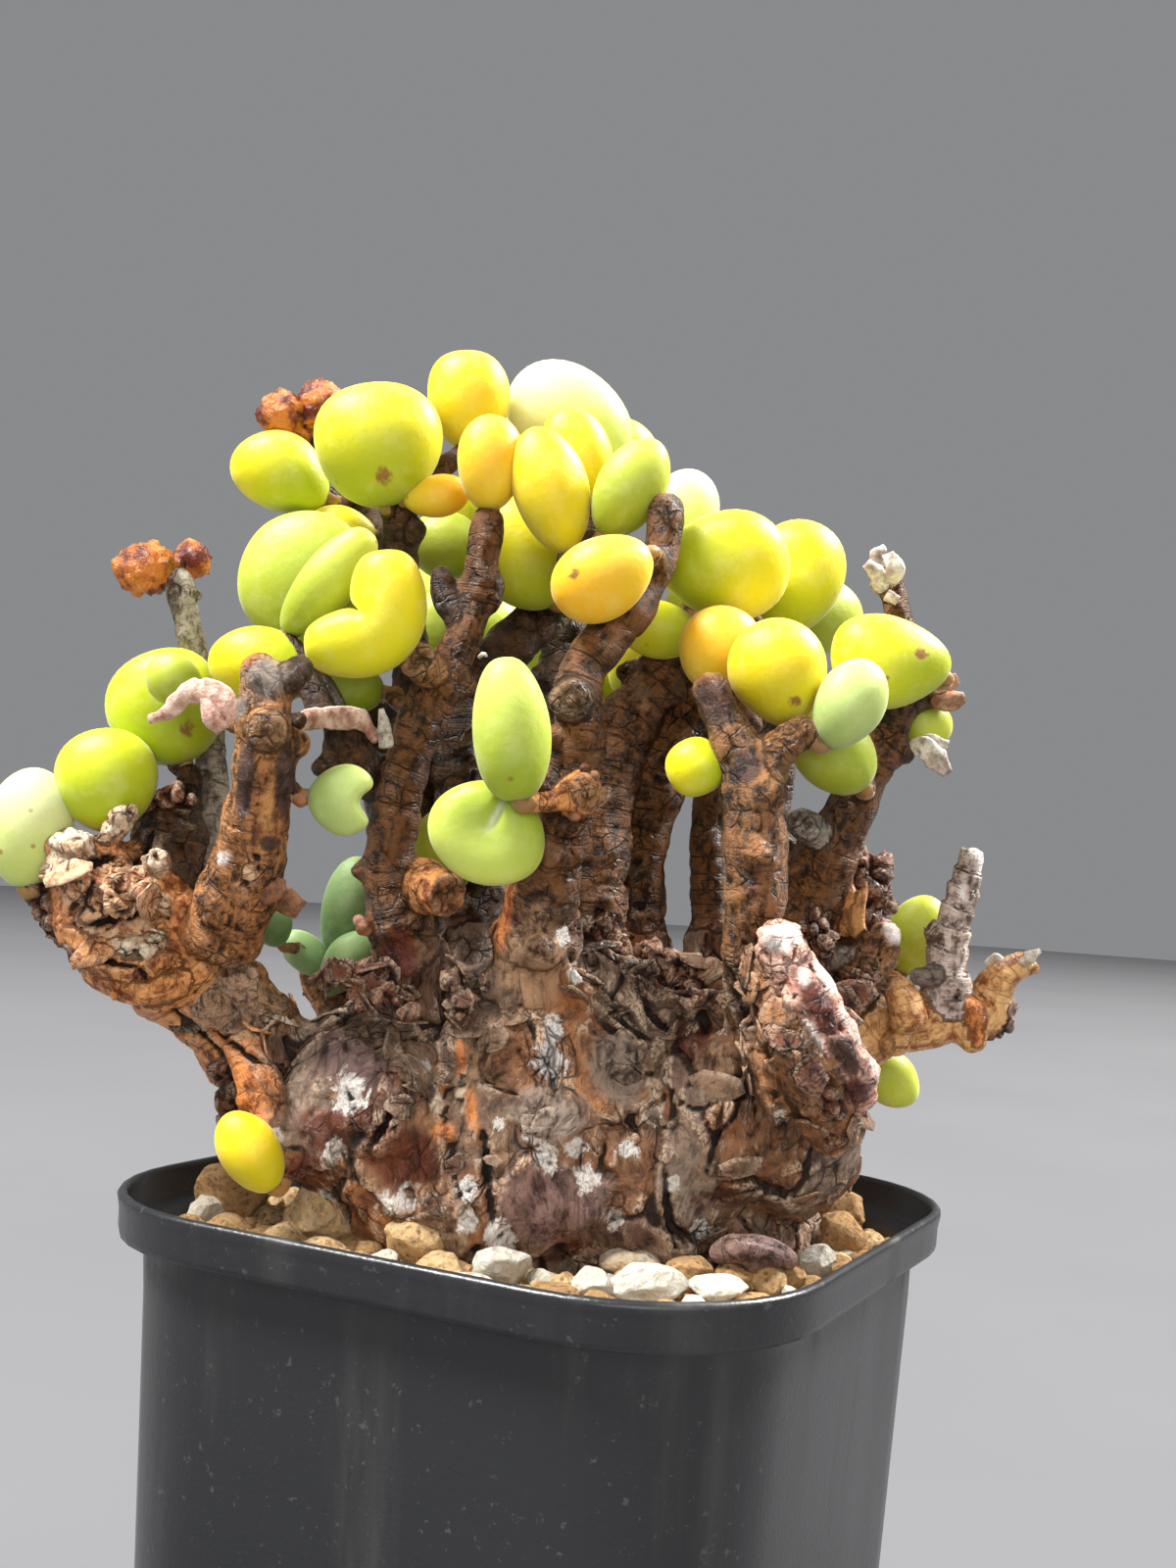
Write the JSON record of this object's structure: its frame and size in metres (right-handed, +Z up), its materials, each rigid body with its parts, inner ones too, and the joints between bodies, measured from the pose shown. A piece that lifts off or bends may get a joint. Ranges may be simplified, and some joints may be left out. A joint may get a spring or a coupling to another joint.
{
  "type": "potted ceraria pygmaea",
  "caption": "Dwarf caudex succulent with a swollen woody base, knobbly upright stems and plump round leaves, in a square nursery pot filled with gravel.",
  "frame": {"origin": "centre of the pot's base, on the surface it stands on", "axes": "+Z up, X and Y along the pot's sides, with -Y towards the front of the plant"},
  "size_m": [0.0893, 0.0758, 0.1638],
  "materials": {
    "pot": "satin black plastic, dusty and lightly scuffed",
    "gravel": "rough tan, cream and brown pumice gravel",
    "loose_stone": "rough tan and brown stone",
    "bark": "rough flaking bark, brown with grey plates and red-brown edges",
    "leaf_lime": "smooth waxy yellow-green leaf, faintly translucent",
    "leaf_yellow": "smooth waxy yellow leaf, faintly translucent",
    "leaf_amber": "smooth waxy orange-yellow leaf, faintly translucent",
    "leaf_green": "smooth waxy green leaf, faintly translucent",
    "leaf_pale": "smooth waxy pale green leaf with a dusty bloom",
    "leaf_jade": "smooth waxy blue-green leaf with a dusty bloom",
    "withered_leaf": "dry wrinkled orange-brown leaf"
  },
  "bodies": {
    "root": {"pot": "pot", "gravel_filling": "gravel", "stone_brown_left": "loose_stone", "stone_tan_left": "loose_stone", "caudex_and_stems": "bark", "leaf_01": "leaf_pale", "leaf_02": "leaf_lime", "leaf_03": "leaf_lime", "leaf_04": "leaf_green", "leaf_05": "leaf_lime", "leaf_06": "leaf_lime", "leaf_07": "leaf_yellow", "leaf_08": "leaf_pale", "leaf_09": "leaf_amber", "leaf_10": "leaf_yellow", "leaf_11": "leaf_yellow", "leaf_12": "leaf_green", "leaf_13": "leaf_amber", "leaf_14": "leaf_amber", "leaf_15": "leaf_yellow", "leaf_16": "leaf_green", "leaf_17": "leaf_green", "leaf_18": "leaf_yellow", "leaf_19": "leaf_green", "leaf_20": "leaf_lime", "leaf_21": "leaf_lime", "leaf_22": "leaf_green", "leaf_23": "leaf_lime", "leaf_24": "leaf_green", "leaf_25": "leaf_jade", "leaf_26": "leaf_green", "leaf_27": "leaf_lime", "leaf_28": "leaf_lime", "leaf_29": "leaf_green", "leaf_30": "leaf_green", "leaf_31": "leaf_lime", "leaf_32": "leaf_lime", "leaf_33": "leaf_pale", "leaf_34": "leaf_lime", "leaf_35": "leaf_lime", "leaf_36": "leaf_amber", "leaf_37": "leaf_yellow", "leaf_38": "leaf_lime", "leaf_39": "leaf_pale", "leaf_40": "leaf_green", "leaf_41": "leaf_lime", "leaf_42": "leaf_green", "leaf_43": "leaf_lime", "leaf_44": "leaf_lime", "leaf_45": "leaf_yellow", "leaf_tuft_back_crown": "leaf_lime", "leaf_tuft_back_far": "leaf_yellow", "leaf_tuft_back_left": "leaf_green", "leaf_tuft_back_middle": "leaf_lime", "leaf_tuft_back_right": "leaf_green", "leaf_tuft_low_left": "leaf_jade", "withered_curl_left": "withered_leaf", "withered_leaf_right": "withered_leaf", "withered_leaves_crown": "withered_leaf", "withered_leaves_left": "withered_leaf"}
  },
  "joints": []
}
